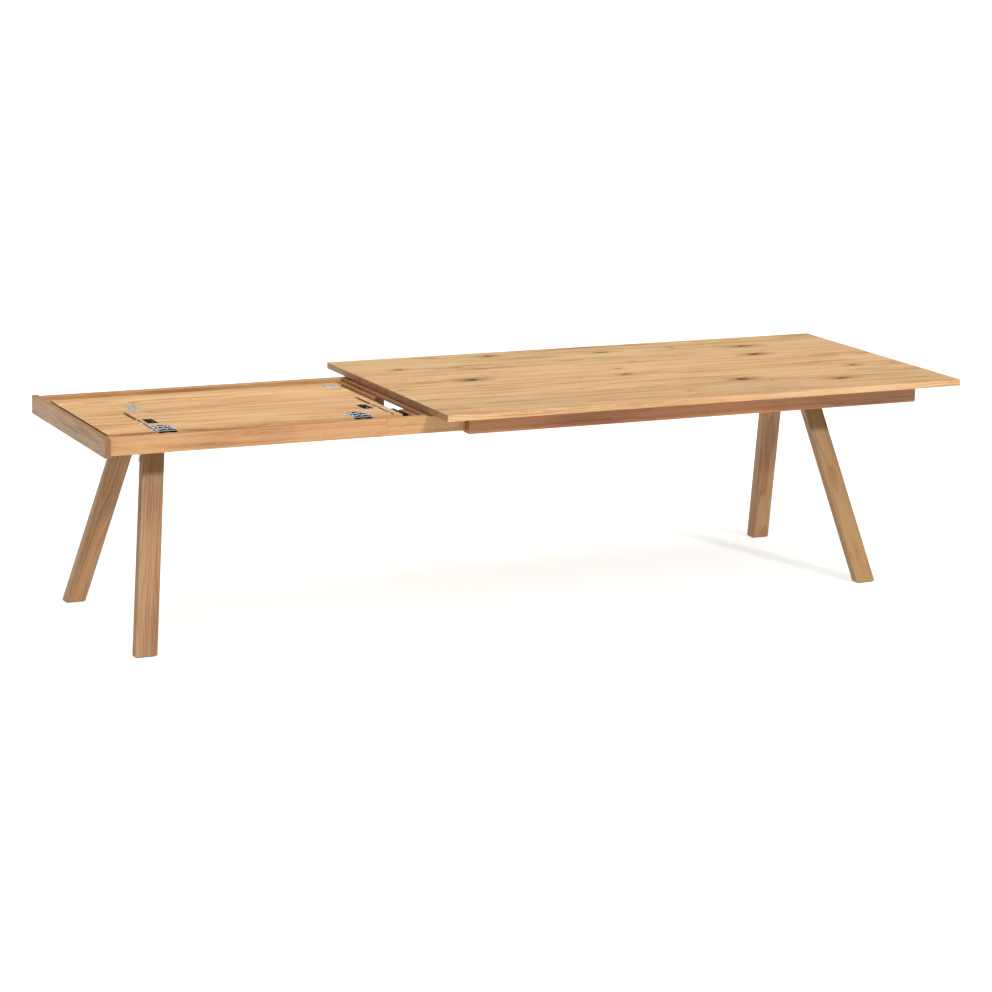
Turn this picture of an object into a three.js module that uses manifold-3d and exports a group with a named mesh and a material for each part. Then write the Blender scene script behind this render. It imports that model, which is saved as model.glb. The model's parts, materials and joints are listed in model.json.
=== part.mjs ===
// An extendable dining table in oiled oak, pulled out to its full length, with its leaf folded in the well.
// Millimetres, +Z up. X runs along the table, Y from the front edge to the back, and the floor is Z = 0.
import * as THREE from "three";
import { mergeVertices } from "three/addons/utils/BufferGeometryUtils.js";
import Module from "manifold-3d";

const wasm = await Module();
wasm.setup();

// ---- driving dimensions ----
const TABLE_HEIGHT = 750;
const TOP_LENGTH = 2000;
const TOP_WIDTH = 1040;
const TOP_THICK = 22;
const TOP_CORNER_RADIUS = 5;

const SLIDE_GAP = 1; // between the telescoping wooden parts
const CONTACT_GAP = 0.3; // between pieces that touch

const MAIN_RAIL_INSET = 108; // from the tabletop's long edge to the rail's outer face
const MAIN_RAIL_SETBACK = 127; // from the tabletop's left end to the rails' left ends
const MAIN_END_SETBACK = 117; // from the tabletop's right end to the frame's end
const MAIN_RAIL_THICK = 30;
const MAIN_END_THICK = 22;

const EXT_RAIL_THICK = 30;
const EXT_RAIL_DROP = 6; // from the tabletop's underside to the extension rails' top
const EXT_RAIL_END_GAP = 12; // from the pushed-in extension rails to the main end board
const EXT_END_THICK = 21;
const EXT_END_PROUD = 12; // the end board stands past the rails on each side
const EXT_END_LIP = 2; // and above them
const EXT_END_SKIRT = 4; // and below them
const RUNNER_STEP = 13; // the inner runners' top lies this far below the rails' top
const RUNNER_WIDTH = 43;

const LEDGE_THICK = 6;
const LEDGE_WIDTH = 25;
const GUIDE_WIDTH = 26;

const CROSS_RAIL_THICK = 46;
const CROSS_RAIL_TUCK = 16; // how far it reaches under the tabletop
const CROSS_RAIL_TREAD = 16; // width of its lower step
const CROSS_RAIL_STEP = 10;
const CROSS_NOTCH_START = 117; // from the front runner to the opening in the rail
const CROSS_NOTCH_LENGTH = 228;
const CROSS_NOTCH_SILL = 11; // wood left below the opening

const LEAF_LENGTH = 1020;
const LEAF_THICK = 22;
const LEAF_REVEAL = 5; // the stored leaf's face lies this far below the rails' top
const LEAF_END_GAP = 33; // from the stored leaf to the well cross rail
const LEAF_FAR_GAP = 19.3; // from the stored leaf to the extension's end board
const LEAF_SIDE_GAP = 9.5; // from the stored leaf to the front runner
const LEAF_FOLD_GAP = 0.5; // between the folded halves
const WELL_CLEARANCE = 7.5; // from the stored leaf's underside to the extension rails' lower edge
const TRAY_GAP = 3;

const PIN_RADIUS = 5; // the pins in the leaf's ends that it hangs on
const PIN_BITE = 20; // depth in the leaf
const PIN_REACH = 16; // past the leaf's end
const PIN_CLEARANCE = 0.3;
const PIN_BACKSET = 200; // from the stored leaf's front edge
const CRADLE_THICK = 10;
const CRADLE_WIDTH = 34;
const CRADLE_PLAY = 3; // beside the pin, so that it can swing out
const CRADLE_GAP = 5; // between the leaf's end and the cradle
const REST_WIDTH = 40; // the battens that the stored leaf lies on
const REST_HEIGHT = 24;
const REST_INSET_LEFT = 95; // from the leaf's ends
const REST_INSET_RIGHT = 90;

const LEG_WIDTH = 74; // along X
const LEG_DEPTH = 45; // along Y
const LEG_ROUND = 16; // the two inner corners of the section
const LEG_SPLAY_X = 0.18; // sideways shift per unit of height
const LEG_SPLAY_Y = 0.3955;
const FOOT_INSET = 150; // from the tabletop's long edge to a foot's centre
const EXT_FOOT_SETBACK = 134; // from the extension's end face to its feet's centres
const MAIN_FOOT_SETBACK = 154; // from the main frame's end face to its feet's centres
const GLIDE_HEIGHT = 3;
const GLIDE_INSET = 6;
const GLIDE_CORNER_RADIUS = 3;
const LEG_BEAM_HEIGHT = 40;
const LEG_BEAM_MARGIN = 22; // the leg beam runs this far past the leg tops
const LEG_PLATE_THICK = 6;
const LEG_PLATE_MARGIN = 16;
const BRACKET_THICK = 3;
const BRACKET_WIDTH = 16;
const BRACKET_DROP = 32; // the bracket reaches this far down the leg
const BOLT_RADIUS = 5;
const BOLT_HEAD_RADIUS = 8.5;
const BOLT_HEAD_HEIGHT = 4;
const BOLT_BITE = 26; // depth in the leg

const STIFFENER_WIDTH = 40;
const STIFFENER_DEPTH = 10;

const HINGE_WIDTH = 60; // along X
const HINGE_REACH = 92; // along Y
const HINGE_PLATE = 3;
const KNUCKLE_RADIUS = 5;
const HINGE_PIN_RADIUS = 2.5;
const HINGE_CLEARANCE = 1;
const HINGE_INSET_LEFT = 172; // from the leaf's ends to the hinges' near sides
const HINGE_INSET_RIGHT = 110;

const SLOT_WIDTH = 14; // the grooves that the lock bars slide in
const SLOT_DEPTH = 10;
const SLOT_LENGTH = 330;
const SLOT_INSET = 8; // from the leaf's front edge
const SLOT_INSET_LEFT = 162; // from the leaf's ends to the grooves' middles
const SLOT_INSET_RIGHT = 31;
const BAR_WIDTH = 10;
const BAR_HEIGHT = 7;
const BAR_SHARE = 0.62; // of the groove's length

const PLATE_THICK = 3; // the flush plates let into the leaf and the tray strip
const KEEPER_INSET = 199; // from the leaf's left end
const KEEPER_BACK = 180; // from the leaf's back edge
const KEEPER_WIDTH = 34;
const KEEPER_LENGTH = 112;
const TRAY_PLATE_LENGTH = 58;
const TRAY_PLATE_WIDTH = 48;
const CATCH_WIDTH = 34;
const CATCH_LENGTH = 72;
const CATCH_THICK = 4;
const CATCH_OFFSET = 12; // from the groove's side to the catch
const CATCH_FRONT = 130; // from the leaf's front edge
const SOCKET_RADIUS = 4; // the two blind holes for the leaf's dowels
const SOCKET_DEPTH = 12;
const SOCKET_BACK = 98; // from the leaf's back edge
const SOCKET_INSET_LEFT = 342; // from the leaf's ends
const SOCKET_INSET_RIGHT = 188;

const REAR_CROSS_THICK = 28;
const STOP_LENGTH = 40;
const STOP_LUG_GAP = 1.5; // from the catch lug to the tabletop's underside
const CORNER_BLOCK_WIDTH = 24; // along X
const CORNER_BLOCK_LENGTH = 98;
const CORNER_BLOCK_FOOT = 30; // the part of its length that reaches the cross rail
const CORNER_BLOCK_GAP = 1;
const CORNER_BLOCK_OFFSET = 42; // from the front runner
const CORNER_BLOCK_HEIGHT = 12;
const FINGER_PULL_OFFSET = 520; // from the extension's end face
const FINGER_PULL_LENGTH = 210;
const FINGER_PULL_WIDTH = 26;
const FINGER_PULL_LIP = 8;
const FINGER_PULL_DEPTH = 20;
const FINGER_PULL_RADIUS = 8;

const OVERSHOOT = 1; // a cutter passes the face that it cuts by this much

// ---- levels and places worked out from them ----
const TOP_UNDER = TABLE_HEIGHT - TOP_THICK;
const MAIN_RAIL_OUTER = TOP_WIDTH / 2 - MAIN_RAIL_INSET;
const MAIN_RAIL_INNER = MAIN_RAIL_OUTER - MAIN_RAIL_THICK;
const MAIN_X0 = MAIN_RAIL_SETBACK;
const MAIN_X1 = TOP_LENGTH - MAIN_END_SETBACK;

const EXT_RAIL_OUTER = MAIN_RAIL_INNER - SLIDE_GAP;
const EXT_RAIL_INNER = EXT_RAIL_OUTER - EXT_RAIL_THICK;
const EXT_RAIL_TOP = TOP_UNDER - EXT_RAIL_DROP;
const LEAF_TOP = EXT_RAIL_TOP - LEAF_REVEAL;
const FOLD_Z = LEAF_TOP - LEAF_THICK - LEAF_FOLD_GAP / 2; // the middle of the folded leaf
const LEAF_BOTTOM = FOLD_Z - LEAF_FOLD_GAP / 2 - LEAF_THICK;
const EXT_RAIL_BOTTOM = LEAF_BOTTOM - WELL_CLEARANCE;
const MAIN_RAIL_BOTTOM = EXT_RAIL_BOTTOM - SLIDE_GAP - LEDGE_THICK;
const CROSS_X1 = CROSS_RAIL_TUCK;
const CROSS_X0 = CROSS_X1 - CROSS_RAIL_THICK;

const LEAF_HALF = TOP_WIDTH / 2; // the opened leaf is as wide as the tabletop
const LEAF_X1 = CROSS_X0 - LEAF_END_GAP;
const LEAF_X0 = LEAF_X1 - LEAF_LENGTH;

const EXT_END_X1 = LEAF_X0 - LEAF_FAR_GAP; // the end board's inner face
const EXT_END_X0 = EXT_END_X1 - EXT_END_THICK;
const TRAVEL = MAIN_X0 - CONTACT_GAP - EXT_END_X1; // the end board closes against the main rails
const EXT_X0 = EXT_END_X1 + CONTACT_GAP;
const EXT_X1 = MAIN_X1 - MAIN_END_THICK - EXT_RAIL_END_GAP - TRAVEL;
const RUNNER_INNER = EXT_RAIL_INNER - CONTACT_GAP - RUNNER_WIDTH;
const RUNNER_TOP = EXT_RAIL_TOP - RUNNER_STEP;

const LEAF_Y0 = -RUNNER_INNER + LEAF_SIDE_GAP;
const LEAF_Y1 = LEAF_Y0 + LEAF_HALF;
const REST_TOP = LEAF_BOTTOM - CONTACT_GAP;

const FOOT_Y = TOP_WIDTH / 2 - FOOT_INSET;
const LEG_PLATE_TOP = EXT_RAIL_BOTTOM - SLIDE_GAP;
const LEG_PLATE_BOTTOM = LEG_PLATE_TOP - LEG_PLATE_THICK;
const LEG_BEAM_TOP = LEG_PLATE_BOTTOM - CONTACT_GAP;
const LEG_BEAM_BOTTOM = LEG_BEAM_TOP - LEG_BEAM_HEIGHT;
const LEG_TOP = LEG_BEAM_BOTTOM - CONTACT_GAP;
const EXT_FOOT_X = EXT_END_X0 + EXT_FOOT_SETBACK;
const MAIN_FOOT_X = MAIN_X1 - MAIN_FOOT_SETBACK;

// The ends of the stored leaf: the name, the leaf's end face, and the way out of the leaf.
const LEAF_ENDS = [
  ["left", LEAF_X0, -1],
  ["right", LEAF_X1, 1],
];
const PIN_Y = LEAF_Y0 + PIN_BACKSET;
const PIN_Z = FOLD_Z - (LEAF_FOLD_GAP + LEAF_THICK) / 2;

// ---- finishes ----
const OAK = { color: 0xd9ab75, roughness: 0.55, metalness: 0 };
const OAK_LEG = { color: 0xbe9164, roughness: 0.6, metalness: 0 };
const BEECH = { color: 0xc9a077, roughness: 0.65, metalness: 0 };
const STEEL = { color: 0xb9bcc0, roughness: 0.35, metalness: 1 };
const BLACK_STEEL = { color: 0x2a2b2e, roughness: 0.5, metalness: 0.8 };
const NYLON = { color: 0x2f2d2b, roughness: 0.5, metalness: 0 };
const FELT = { color: 0x6b5a4a, roughness: 0.95, metalness: 0 };

// ---- solids ----
function toSolid(geometry) {
  const bare = geometry.index ? geometry.toNonIndexed() : geometry.clone();
  bare.deleteAttribute("normal");
  bare.deleteAttribute("uv");
  const merged = mergeVertices(bare, 1e-4);
  return new wasm.Manifold(
    new wasm.Mesh({
      numProp: 3,
      vertProperties: new Float32Array(merged.attributes.position.array),
      triVerts: new Uint32Array(merged.index.array),
    }),
  );
}

function toGeometry(solid) {
  const mesh = solid.getMesh();
  const geometry = new THREE.BufferGeometry();
  geometry.setAttribute("position", new THREE.BufferAttribute(new Float32Array(mesh.vertProperties), 3));
  geometry.setIndex(new THREE.BufferAttribute(new Uint32Array(mesh.triVerts), 1));
  geometry.computeVertexNormals();
  return geometry;
}

// A block between two corners.
function block(x0, y0, z0, x1, y1, z1) {
  const geometry = new THREE.BoxGeometry(x1 - x0, y1 - y0, z1 - z0);
  return geometry.translate((x0 + x1) / 2, (y0 + y1) / 2, (z0 + z1) / 2);
}

// The same block on both sides of the centre line: side is -1 at the front and 1 at the back.
function sideBlock(side, x0, inner, z0, x1, outer, z1) {
  return side > 0 ? block(x0, inner, z0, x1, outer, z1) : block(x0, -outer, z0, x1, -inner, z1);
}

// A rod along X through (y, z).
function rodX(x0, x1, y, z, radius, sides = 20) {
  const geometry = new THREE.CylinderGeometry(radius, radius, x1 - x0, sides);
  return geometry.rotateZ(Math.PI / 2).translate((x0 + x1) / 2, y, z);
}

function rodZ(x, y, z0, z1, radius, sides = 20) {
  const geometry = new THREE.CylinderGeometry(radius, radius, z1 - z0, sides);
  return geometry.rotateX(Math.PI / 2).translate(x, y, (z0 + z1) / 2);
}

function roundedOutline(x0, y0, x1, y1, radii) {
  const [a, b, c, d] = radii; // at x0 y0, x1 y0, x1 y1 and x0 y1
  const shape = new THREE.Shape();
  shape.moveTo(x0 + a, y0);
  shape.lineTo(x1 - b, y0);
  if (b > 0) shape.absarc(x1 - b, y0 + b, b, -Math.PI / 2, 0, false);
  shape.lineTo(x1, y1 - c);
  if (c > 0) shape.absarc(x1 - c, y1 - c, c, 0, Math.PI / 2, false);
  shape.lineTo(x0 + d, y1);
  if (d > 0) shape.absarc(x0 + d, y1 - d, d, Math.PI / 2, Math.PI, false);
  shape.lineTo(x0, y0 + a);
  if (a > 0) shape.absarc(x0 + a, y0 + a, a, Math.PI, Math.PI * 1.5, false);
  return shape;
}

function prism(shape, z0, z1, curveSegments = 5) {
  const geometry = new THREE.ExtrudeGeometry(shape, { depth: z1 - z0, bevelEnabled: false, curveSegments });
  return geometry.translate(0, 0, z0);
}

function cut(geometry, ...tools) {
  let solid = toSolid(geometry);
  for (const tool of tools) solid = solid.subtract(toSolid(tool));
  return toGeometry(solid);
}

function join(...geometries) {
  let solid = toSolid(geometries[0]);
  for (const other of geometries.slice(1)) solid = solid.add(toSolid(other));
  return toGeometry(solid);
}

const table = new THREE.Group();

function piece(name, geometry, finish, group = table) {
  const mesh = new THREE.Mesh(geometry, new THREE.MeshStandardMaterial(finish));
  mesh.name = name;
  group.add(mesh);
  return mesh;
}

const SIDES = [
  ["front", -1],
  ["back", 1],
];

// ---- trestles: plate, beam and two splayed legs ----
// lean is 1 where the legs lean towards +X as they rise, and -1 where they lean towards -X.
function legAt(z, footX, lean) {
  return { x: footX + lean * LEG_SPLAY_X * z, y: FOOT_Y - LEG_SPLAY_Y * z };
}

function legGeometry(footX, lean, side) {
  const half = LEG_WIDTH / 2;
  const outline = roundedOutline(-half, -LEG_DEPTH / 2, half, LEG_DEPTH / 2, [0, 0, LEG_ROUND, LEG_ROUND]);
  const geometry = prism(outline, GLIDE_HEIGHT + CONTACT_GAP, LEG_TOP);
  if (side > 0) geometry.rotateZ(Math.PI); // the round corners face the table's middle
  const shear = new THREE.Matrix4().set(
    1, 0, lean * LEG_SPLAY_X, footX,
    0, 1, -side * LEG_SPLAY_Y, side * FOOT_Y,
    0, 0, 1, 0,
    0, 0, 0, 1,
  );
  return geometry.applyMatrix4(shear);
}

function trestle(prefix, footX, lean, plateHalf) {
  const top = legAt(LEG_TOP, footX, lean);
  const outerX = top.x - (lean * LEG_WIDTH) / 2;
  const beamX0 = Math.min(outerX, outerX + lean * (LEG_WIDTH + LEG_BEAM_MARGIN));
  const beamX1 = Math.max(outerX, outerX + lean * (LEG_WIDTH + LEG_BEAM_MARGIN));
  const beamY = top.y + LEG_DEPTH / 2 + LEG_BEAM_MARGIN;
  const holes = [];
  const plateHoles = [];
  for (const [, side] of SIDES) {
    const y = side * top.y;
    const holeZ = LEG_BEAM_BOTTOM - OVERSHOOT;
    const hole = rodZ(top.x, y, holeZ, LEG_PLATE_TOP + OVERSHOOT, BOLT_RADIUS + CONTACT_GAP);
    holes.push(hole);
    const seatZ = LEG_PLATE_TOP - BOLT_HEAD_HEIGHT;
    const seat = rodZ(top.x, y, seatZ, LEG_PLATE_TOP + OVERSHOOT, BOLT_HEAD_RADIUS + CONTACT_GAP);
    plateHoles.push(hole, seat);
  }
  const plate = block(beamX0 - LEG_PLATE_MARGIN, -plateHalf, LEG_PLATE_BOTTOM,
    beamX1 + LEG_PLATE_MARGIN, plateHalf, LEG_PLATE_TOP);
  piece(prefix + "_leg_plate", cut(plate, ...plateHoles), BLACK_STEEL);
  const beam = block(beamX0, -beamY, LEG_BEAM_BOTTOM, beamX1, beamY, LEG_BEAM_TOP);
  piece(prefix + "_leg_beam", cut(beam, ...holes), BEECH);
  for (const [word, side] of SIDES) {
    const y = side * top.y;
    const boreZ = LEG_TOP - BOLT_BITE - OVERSHOOT;
    const bore = rodZ(top.x, y, boreZ, LEG_TOP + OVERSHOOT, BOLT_RADIUS + CONTACT_GAP);
    piece(prefix + "_leg_" + word, cut(legGeometry(footX, lean, side), bore), OAK_LEG);

    const headZ = LEG_PLATE_TOP - BOLT_HEAD_HEIGHT + CONTACT_GAP;
    const shank = rodZ(top.x, y, LEG_TOP - BOLT_BITE, headZ + BOLT_HEAD_HEIGHT / 2, BOLT_RADIUS);
    const head = rodZ(top.x, y, headZ, LEG_PLATE_TOP - CONTACT_GAP, BOLT_HEAD_RADIUS);
    piece(prefix + "_leg_bolt_" + word, join(shank, head), STEEL);

    piece(prefix + "_leg_bracket_" + word, bracketGeometry(outerX, lean, side, top.y), STEEL);

    const foot = legAt(0, footX, lean);
    const halfX = LEG_WIDTH / 2 - GLIDE_INSET;
    const halfY = LEG_DEPTH / 2 - GLIDE_INSET;
    const outline = roundedOutline(-halfX, -halfY, halfX, halfY, Array(4).fill(GLIDE_CORNER_RADIUS));
    const pad = prism(outline, 0, GLIDE_HEIGHT, 2);
    piece(prefix + "_glide_" + word, pad.translate(foot.x, side * foot.y, 0), FELT);
  }
}

// A strap on the trestle's outer face, straight down the beam and then along the leg's slope.
function bracketGeometry(outerX, lean, side, y) {
  const near = outerX - lean * CONTACT_GAP;
  const far = near - lean * BRACKET_THICK;
  const low = LEG_TOP - BRACKET_DROP;
  const shift = -lean * LEG_SPLAY_X * BRACKET_DROP;
  const outline = new THREE.Shape([
    new THREE.Vector2(near, LEG_BEAM_TOP),
    new THREE.Vector2(near, LEG_TOP),
    new THREE.Vector2(near + shift, low),
    new THREE.Vector2(far + shift, low),
    new THREE.Vector2(far, LEG_TOP),
    new THREE.Vector2(far, LEG_BEAM_TOP),
  ]);
  const strap = new THREE.ExtrudeGeometry(outline, { depth: BRACKET_WIDTH, bevelEnabled: false });
  return strap.rotateX(Math.PI / 2).translate(0, side * y + BRACKET_WIDTH / 2, 0);
}

// ---- main frame ----
function mainFrame() {
  const radii = Array(4).fill(TOP_CORNER_RADIUS);
  const outline = roundedOutline(0, -TOP_WIDTH / 2, TOP_LENGTH, TOP_WIDTH / 2, radii);
  const slab = prism(outline, TOP_UNDER, TABLE_HEIGHT);
  const grooves = [];
  const stiffHalf = MAIN_RAIL_INNER - STIFFENER_WIDTH;
  for (const share of [1 / 3, 2 / 3]) {
    const x = MAIN_X0 + share * (MAIN_X1 - MAIN_X0);
    const w = STIFFENER_WIDTH / 2;
    grooves.push(block(x - w - CONTACT_GAP, -stiffHalf - CONTACT_GAP, TOP_UNDER - OVERSHOOT,
      x + w + CONTACT_GAP, stiffHalf + CONTACT_GAP, TOP_UNDER + STIFFENER_DEPTH + CONTACT_GAP));
    const name = share < 0.5 ? "stiffener_left" : "stiffener_right";
    piece(name, block(x - w, -stiffHalf, TOP_UNDER, x + w, stiffHalf, TOP_UNDER + STIFFENER_DEPTH), STEEL);
  }
  piece("tabletop", cut(slab, ...grooves), OAK);

  const top = legAt(LEG_TOP, MAIN_FOOT_X, -1);
  const outer = top.x + LEG_WIDTH / 2;
  const notchX0 = outer - LEG_WIDTH - LEG_BEAM_MARGIN - LEG_PLATE_MARGIN - CONTACT_GAP;
  const notchX1 = outer + LEG_PLATE_MARGIN + CONTACT_GAP;
  const plateHalf = MAIN_RAIL_INNER + MAIN_RAIL_THICK / 2;
  const railTop = TOP_UNDER - CONTACT_GAP;
  for (const [word, side] of SIDES) {
    const rail = sideBlock(side, MAIN_X0, MAIN_RAIL_INNER, MAIN_RAIL_BOTTOM,
      MAIN_X1, MAIN_RAIL_OUTER, railTop);
    const notch = sideBlock(side, notchX0, MAIN_RAIL_INNER - OVERSHOOT, MAIN_RAIL_BOTTOM - OVERSHOOT,
      notchX1, plateHalf + CONTACT_GAP, LEG_PLATE_TOP + CONTACT_GAP);
    piece("main_rail_" + word, cut(rail, notch), OAK);
    const ledgeOuter = MAIN_RAIL_INNER - CONTACT_GAP;
    const ledgeX0 = MAIN_X0 + EXT_END_SKIRT;
    piece("slide_ledge_" + word, sideBlock(side, ledgeX0, ledgeOuter - LEDGE_WIDTH, MAIN_RAIL_BOTTOM,
      notchX0 - EXT_END_SKIRT, ledgeOuter, MAIN_RAIL_BOTTOM + LEDGE_THICK), NYLON);
    const guideZ = EXT_RAIL_TOP + SLIDE_GAP / 2;
    piece("upper_guide_" + word, sideBlock(side, MAIN_X0, EXT_RAIL_OUTER - GUIDE_WIDTH, guideZ,
      EXT_X1, EXT_RAIL_OUTER, railTop), NYLON);
  }
  const endHalf = MAIN_RAIL_INNER - CONTACT_GAP;
  const endX0 = MAIN_X1 - MAIN_END_THICK;
  piece("main_end_board", block(endX0, -endHalf, MAIN_RAIL_BOTTOM, MAIN_X1, endHalf, railTop), OAK);
  const stopX1 = EXT_X1 - REAR_CROSS_THICK - CONTACT_GAP;
  piece("travel_stop", block(stopX1 - STOP_LENGTH, -STOP_LENGTH, EXT_RAIL_TOP + SLIDE_GAP / 2,
    stopX1, STOP_LENGTH, railTop), NYLON);
  trestle("main", MAIN_FOOT_X, -1, plateHalf);
}

// ---- extension frame ----
function extensionFrame() {
  const endHalf = EXT_RAIL_OUTER + EXT_END_PROUD;
  piece("ext_end_board", block(EXT_END_X0, -endHalf, EXT_RAIL_BOTTOM - EXT_END_SKIRT,
    EXT_END_X1, endHalf, EXT_RAIL_TOP + EXT_END_LIP), OAK);
  const runnerOuter = EXT_RAIL_INNER - CONTACT_GAP;
  for (const [word, side] of SIDES) {
    piece("ext_rail_" + word, sideBlock(side, EXT_X0, EXT_RAIL_INNER, EXT_RAIL_BOTTOM,
      EXT_X1, EXT_RAIL_OUTER, EXT_RAIL_TOP), OAK);
    let runner = sideBlock(side, EXT_X0, RUNNER_INNER, EXT_RAIL_BOTTOM,
      CROSS_X0 - CONTACT_GAP, runnerOuter, RUNNER_TOP);
    if (side > 0) {
      const x = EXT_END_X0 + FINGER_PULL_OFFSET;
      const y0 = RUNNER_INNER + FINGER_PULL_LIP;
      const radii = Array(4).fill(FINGER_PULL_RADIUS);
      const outline = roundedOutline(x, y0, x + FINGER_PULL_LENGTH, y0 + FINGER_PULL_WIDTH, radii);
      runner = cut(runner, prism(outline, RUNNER_TOP - FINGER_PULL_DEPTH, RUNNER_TOP + OVERSHOOT));
    }
    piece("runner_" + word, runner, OAK);
  }
  const crossHalf = EXT_RAIL_INNER - CONTACT_GAP;
  const treadX1 = CROSS_X0 + CROSS_RAIL_TREAD;
  const stepZ = EXT_RAIL_TOP - CROSS_RAIL_STEP;
  const notchY = -RUNNER_INNER + CROSS_NOTCH_START;
  const notch = block(CROSS_X0 - OVERSHOOT, notchY, EXT_RAIL_BOTTOM + CROSS_NOTCH_SILL,
    CROSS_X1 + OVERSHOOT, notchY + CROSS_NOTCH_LENGTH, stepZ);
  piece("well_cross_rail", cut(join(
    block(CROSS_X0, -crossHalf, EXT_RAIL_BOTTOM, CROSS_X1, crossHalf, stepZ),
    block(treadX1, -crossHalf, EXT_RAIL_BOTTOM, CROSS_X1, crossHalf, EXT_RAIL_TOP),
  ), notch), OAK);
  const lugHalf = STOP_LENGTH / 2;
  piece("rear_cross_rail", join(
    block(EXT_X1 - REAR_CROSS_THICK, -crossHalf, EXT_RAIL_BOTTOM, EXT_X1, crossHalf, EXT_RAIL_TOP),
    block(EXT_X1 - REAR_CROSS_THICK, -lugHalf, EXT_RAIL_BOTTOM, EXT_X1, lugHalf, TOP_UNDER - STOP_LUG_GAP),
  ), BEECH);
  const stripY0 = LEAF_Y1 + TRAY_GAP;
  const strip = block(LEAF_X0, stripY0, LEAF_BOTTOM, LEAF_X1, RUNNER_INNER - CONTACT_GAP, LEAF_TOP);
  const plateX0 = LEAF_X1 - TRAY_PLATE_LENGTH;
  const plateY0 = stripY0 + TRAY_GAP;
  piece("tray_strip", cut(strip, plateSeat(plateX0, plateY0, LEAF_X1, plateY0 + TRAY_PLATE_WIDTH)), OAK);
  piece("tray_plate", block(plateX0, plateY0, LEAF_TOP - PLATE_THICK,
    LEAF_X1, plateY0 + TRAY_PLATE_WIDTH, LEAF_TOP), STEEL);
  const cornerX = LEAF_X1 + CORNER_BLOCK_GAP;
  const cornerY = -RUNNER_INNER + CORNER_BLOCK_OFFSET;
  const foot = block(cornerX, cornerY, stepZ - CORNER_BLOCK_HEIGHT,
    CROSS_X0 - CONTACT_GAP, cornerY + CORNER_BLOCK_FOOT, stepZ);
  const arm = block(cornerX, cornerY, stepZ - CORNER_BLOCK_HEIGHT,
    cornerX + CORNER_BLOCK_WIDTH, cornerY + CORNER_BLOCK_LENGTH, stepZ);
  piece("corner_block", join(foot, arm), BLACK_STEEL);
  for (const [word, endX, out] of LEAF_ENDS) {
    const inset = out < 0 ? REST_INSET_LEFT : REST_INSET_RIGHT;
    const x = endX - out * inset;
    piece("leaf_rest_" + word, block(x - REST_WIDTH / 2, -RUNNER_INNER + CONTACT_GAP, REST_TOP - REST_HEIGHT,
      x + REST_WIDTH / 2, RUNNER_INNER - CONTACT_GAP, REST_TOP), BEECH);
    const near = endX + out * CRADLE_GAP;
    const far = near + out * CRADLE_THICK;
    const wall = out < 0 ? EXT_END_X1 + CONTACT_GAP : CROSS_X0 - CONTACT_GAP;
    const half = CRADLE_WIDTH / 2;
    const slot = PIN_RADIUS + CRADLE_PLAY;
    const hook = spanX(near, PIN_Y - half, PIN_Z - half, far, PIN_Y + half, PIN_Z + PIN_RADIUS);
    const foot = spanX(near, PIN_Y - half, PIN_Z - half, wall, PIN_Y + half, PIN_Z - slot);
    const past = out * OVERSHOOT;
    const mouth = join(
      spanRodX(near - past, far + past, slot),
      spanX(near - past, PIN_Y - slot, PIN_Z, far + past, PIN_Y + slot, PIN_Z + half),
    );
    piece("pin_cradle_" + word, cut(join(hook, foot), mouth), BLACK_STEEL);
  }
  trestle("ext", EXT_FOOT_X, 1, RUNNER_INNER + LEG_PLATE_MARGIN);
}

function spanX(xa, y0, z0, xb, y1, z1) {
  return block(Math.min(xa, xb), y0, z0, Math.max(xa, xb), y1, z1);
}

// A rod on the leaf pins' axis.
function spanRodX(xa, xb, radius) {
  return rodX(Math.min(xa, xb), Math.max(xa, xb), PIN_Y, PIN_Z, radius);
}

// The room for a flush plate in the face at LEAF_TOP.
function plateSeat(x0, y0, x1, y1, thick = PLATE_THICK) {
  const g = CONTACT_GAP;
  return block(x0 - g, y0 - g, LEAF_TOP - thick - g, x1 + g, y1 + g, LEAF_TOP + OVERSHOOT);
}

// ---- folded leaf ----
function hingeSpans() {
  const left = LEAF_X0 + HINGE_INSET_LEFT;
  const right = LEAF_X1 - HINGE_INSET_RIGHT - HINGE_WIDTH;
  return [["left", left], ["right", right]];
}

// The hinges' room in both halves: round the knuckles, under the plates and behind the lugs.
function hingePockets(upper) {
  const sign = upper ? 1 : -1;
  const face = FOLD_Z + sign * (LEAF_FOLD_GAP / 2 + LEAF_THICK);
  const pockets = [];
  for (const [, x] of hingeSpans()) {
    const x0 = x - HINGE_CLEARANCE;
    const x1 = x + HINGE_WIDTH + HINGE_CLEARANCE;
    const r = KNUCKLE_RADIUS + HINGE_CLEARANCE;
    pockets.push(rodX(x0, x1, LEAF_Y0, FOLD_Z, r, 24));
    const past = face + sign * OVERSHOOT;
    const seat = face - sign * (HINGE_PLATE + CONTACT_GAP);
    pockets.push(spanZ(x0, LEAF_Y0 - OVERSHOOT, FOLD_Z, x1, LEAF_Y0 + r, past));
    pockets.push(spanZ(x0, LEAF_Y0 - OVERSHOOT, seat, x1, LEAF_Y0 + HINGE_REACH + CONTACT_GAP, past));
  }
  return pockets;
}

function spanZ(x0, y0, za, x1, y1, zb) {
  return block(x0, y0, Math.min(za, zb), x1, y1, Math.max(za, zb));
}

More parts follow.
